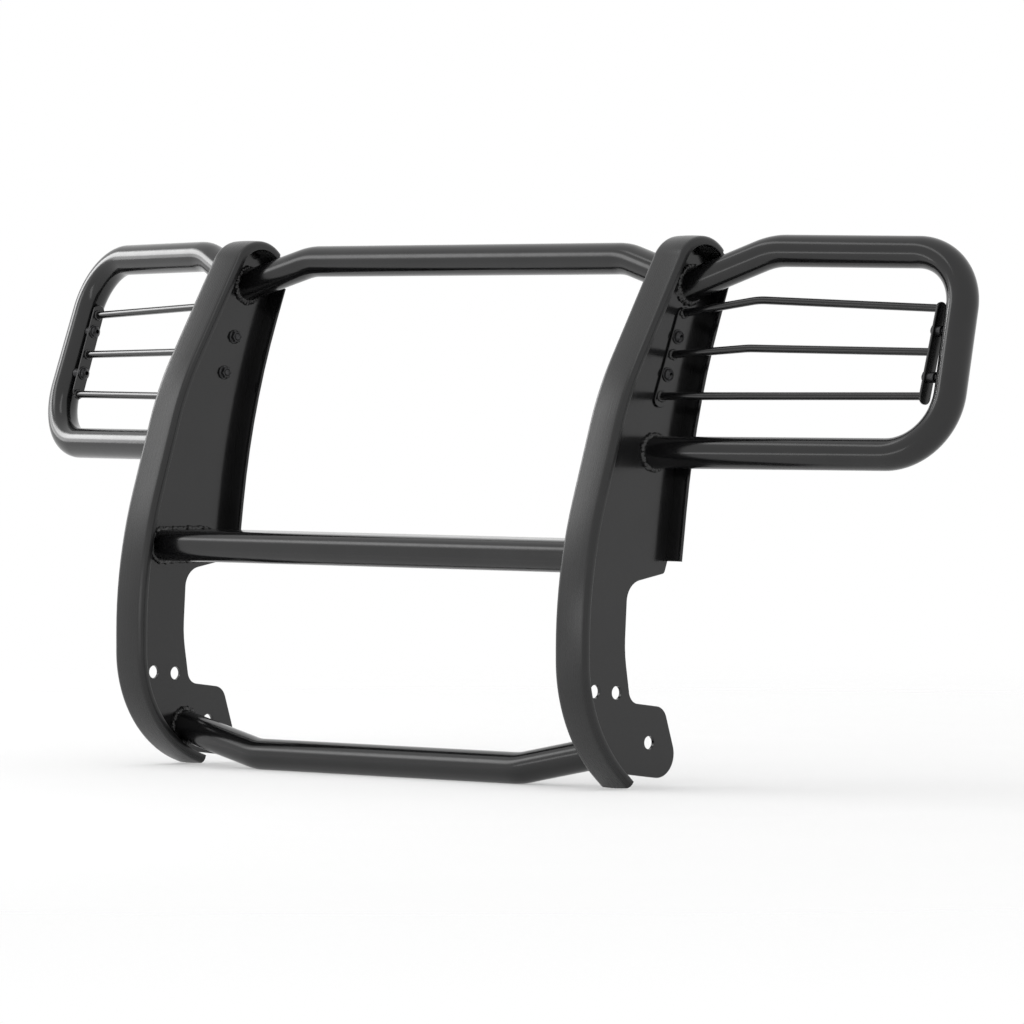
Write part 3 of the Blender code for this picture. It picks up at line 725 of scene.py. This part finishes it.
for level, seed in bead["crossSeeds"].items():
    line = crossTubes[level]
    mirrorLeft(tubeBead(level + "CrossWeldRight", line[3][:3], line[2][:3], faceIn, -1,
                        [level + "_cross_weld_right"], seed), 60.0)
for level, line in (("upper", hoopLine[0:2]), ("lower", hoopLine[4:2:-1])):
    mirrorLeft(tubeBead(level + "HoopWeldRight", line[0][:3], line[1][:3], faceOut, 1,
                        [level + "_hoop_weld_right"], bead["hoopSeeds"][level]), 60.0)
for name, (start, toward) in rodEnds.items():
    way = 1 if toward[0] > start[0] else -1
    tubeBead(name, start, toward, start[0], way, [], bead["tackSeed"], rods["radius"], bead["tack"])
mirrorLeft(middleBead(), 60.0)
print("weld beads")

for side in ("left", "right"):
    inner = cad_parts["front_flange_" + side]  # steel T flange under the rubber
    inner.data.materials.clear()
    inner.data.materials.append(coat)


# floor, light and camera
studio = {
    "floorDim": (0.87, 0.87, 0.87), "floorLight": (0.88, 0.88, 0.88), "reach": 3.2, "fade": 0.7, "sky": 1.0,
}


def studioFloor():
    # melts into the backdrop away from the guard
    mat, tree, shader, place = startMaterial("paleStudioFloor")
    stops = [(0.3, studio["floorDim"]), (0.7, studio["floorLight"])]
    tree.links.new(addRamp(tree, addNoise(tree, place, 3.0, 4.0), stops), shader.inputs["Base Color"])
    shader.inputs["Roughness"].default_value = 0.8
    mapping = tree.nodes.new("ShaderNodeMapping")
    mapping.inputs["Scale"].default_value = (1 / studio["reach"],) * 3
    ball = tree.nodes.new("ShaderNodeTexGradient")
    ball.gradient_type = "SPHERICAL"
    tree.links.new(place, mapping.inputs["Vector"])
    tree.links.new(mapping.outputs["Vector"], ball.inputs["Vector"])
    faded = addRange(tree, ball.outputs["Fac"], 0.0, studio["fade"], 0.0, studio["fade"])
    tree.links.new(faded, shader.inputs["Alpha"])
    bm = bmesh.new()
    bmesh.ops.create_circle(bm, cap_ends=True, segments=96, radius=studio["reach"])
    mesh = bpy.data.meshes.new("studioFloor")
    bm.to_mesh(mesh)
    bm.free()
    mesh.materials.append(mat)
    floor = bpy.data.objects.new("studioFloor", mesh)
    bpy.context.scene.collection.objects.link(floor)


studioFloor()
world = bpy.data.worlds.new("studioWorld")
bpy.context.scene.world = world
world.use_nodes = True
sky = world.node_tree.nodes["Background"]
sky.inputs["Color"].default_value = (1.0, 1.0, 1.0, 1.0)
sky.inputs["Strength"].default_value = studio["sky"]

bpy.context.scene.view_settings.view_transform = "Standard"


def softPanel(name, place, aim, size, glow):
    # glow is how bright the panel looks beside the sky
    light = bpy.data.lights.new(name, "AREA")
    light.shape = "RECTANGLE"
    light.size, light.size_y = size
    light.energy = glow * math.pi * size[0] * size[1]
    lamp = bpy.data.objects.new(name, light)
    bpy.context.scene.collection.objects.link(lamp)
    lamp.location = place
    lamp.rotation_euler = (Vector(aim) - Vector(place)).to_track_quat("-Z", "Y").to_euler()


# each big panel is a wide dim sheet with a brighter middle; place, aim, size, glow
panels = {
    "sideSheet": ((-4.30, -0.64, 1.70), (-0.55, 0.08, 0.60), (1.5, 2.1), 2.6),
    "sideCore": ((-4.25, -0.64, 2.02), (-0.55, 0.08, 0.60), (1.2, 1.0), 4.2),
    "frontSheet": ((-3.50, -2.80, 2.50), (0.0, 0.0, 0.40), (1.4, 2.1), 0.8),
    "frontCore": ((-3.46, -2.77, 2.48), (0.0, 0.0, 0.40), (1.0, 1.3), 2.0),
    "highBank": ((-0.25, -0.97, 2.12), (0.58, 0.09, 0.64), (1.6, 0.32), 1.8),
    "lowBank": ((-0.09, -1.76, 0.33), (0.58, 0.09, 0.64), (1.6, 0.26), 2.0),
}
for name, (place, aim, size, glow) in panels.items():
    softPanel(name, place, aim, size, glow)

view = {"place": (6.8413, -6.7018, 0.5324), "tilt": 88.717, "heading": 45.0, "lens": 277.73, "film": 36.0}
camera = bpy.data.cameras.new("camera")
camera.lens = view["lens"]
camera.sensor_width = view["film"]
eye = bpy.data.objects.new("camera", camera)
bpy.context.scene.collection.objects.link(eye)
eye.location = view["place"]
eye.rotation_euler = (math.radians(view["tilt"]), 0.0, math.radians(view["heading"]))
bpy.context.scene.camera = eye
print("floor, light and camera")
